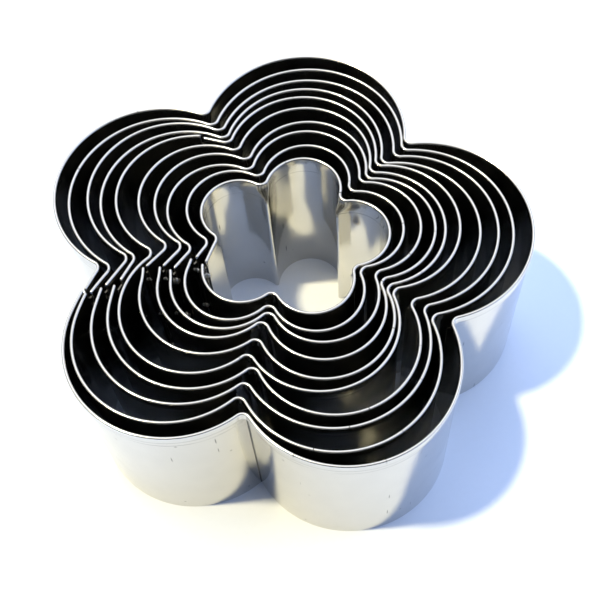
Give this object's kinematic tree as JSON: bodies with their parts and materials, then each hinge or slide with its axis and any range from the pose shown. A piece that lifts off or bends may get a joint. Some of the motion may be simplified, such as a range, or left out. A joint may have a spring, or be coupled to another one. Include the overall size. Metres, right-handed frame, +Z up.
{
  "type": "nested flower pastry cutter set",
  "caption": "Nested set of five-petal flower pastry cutters bent from thin stainless strip, each with a folded rim, a lapped and tacked seam, and a bare cutting edge",
  "frame": {"origin": "middle of the box under the largest cutter, on the plane of the cutting edges", "axes": "+Z up from the cutting edges to the folded rims, +X along one petal of the largest cutter, +Y square to it"},
  "size_m": [0.097, 0.0998, 0.038],
  "materials": {
    "stainless_strip": "bright rolled stainless strip with fine handling scratches, rim folded smooth"
  },
  "bodies": {
    "cutter_01": {"cutter_01": "stainless_strip"},
    "cutter_02": {"cutter_02": "stainless_strip"},
    "cutter_03": {"cutter_03": "stainless_strip"},
    "cutter_04": {"cutter_04": "stainless_strip"},
    "cutter_05": {"cutter_05": "stainless_strip"},
    "cutter_06": {"cutter_06": "stainless_strip"},
    "cutter_07": {"cutter_07": "stainless_strip"},
    "cutter_08": {"cutter_08": "stainless_strip"},
    "cutter_09": {"cutter_09": "stainless_strip"},
    "cutter_10": {"cutter_10": "stainless_strip"}
  },
  "joints": [
    {"name": "lift_02", "type": "slide", "parent": "cutter_01", "child": "cutter_02", "axis": [0, 0, 1], "range_m": [0, 0.045]},
    {"name": "lift_03", "type": "slide", "parent": "cutter_01", "child": "cutter_03", "axis": [0, 0, 1], "range_m": [0, 0.045]},
    {"name": "lift_04", "type": "slide", "parent": "cutter_01", "child": "cutter_04", "axis": [0, 0, 1], "range_m": [0, 0.045]},
    {"name": "lift_05", "type": "slide", "parent": "cutter_01", "child": "cutter_05", "axis": [0, 0, 1], "range_m": [0, 0.045]},
    {"name": "lift_06", "type": "slide", "parent": "cutter_01", "child": "cutter_06", "axis": [0, 0, 1], "range_m": [0, 0.045]},
    {"name": "lift_07", "type": "slide", "parent": "cutter_01", "child": "cutter_07", "axis": [0, 0, 1], "range_m": [0, 0.045]},
    {"name": "lift_08", "type": "slide", "parent": "cutter_01", "child": "cutter_08", "axis": [0, 0, 1], "range_m": [0, 0.045]},
    {"name": "lift_09", "type": "slide", "parent": "cutter_01", "child": "cutter_09", "axis": [0, 0, 1], "range_m": [0, 0.045]},
    {"name": "lift_10", "type": "slide", "parent": "cutter_01", "child": "cutter_10", "axis": [0, 0, 1], "range_m": [0, 0.045]}
  ]
}
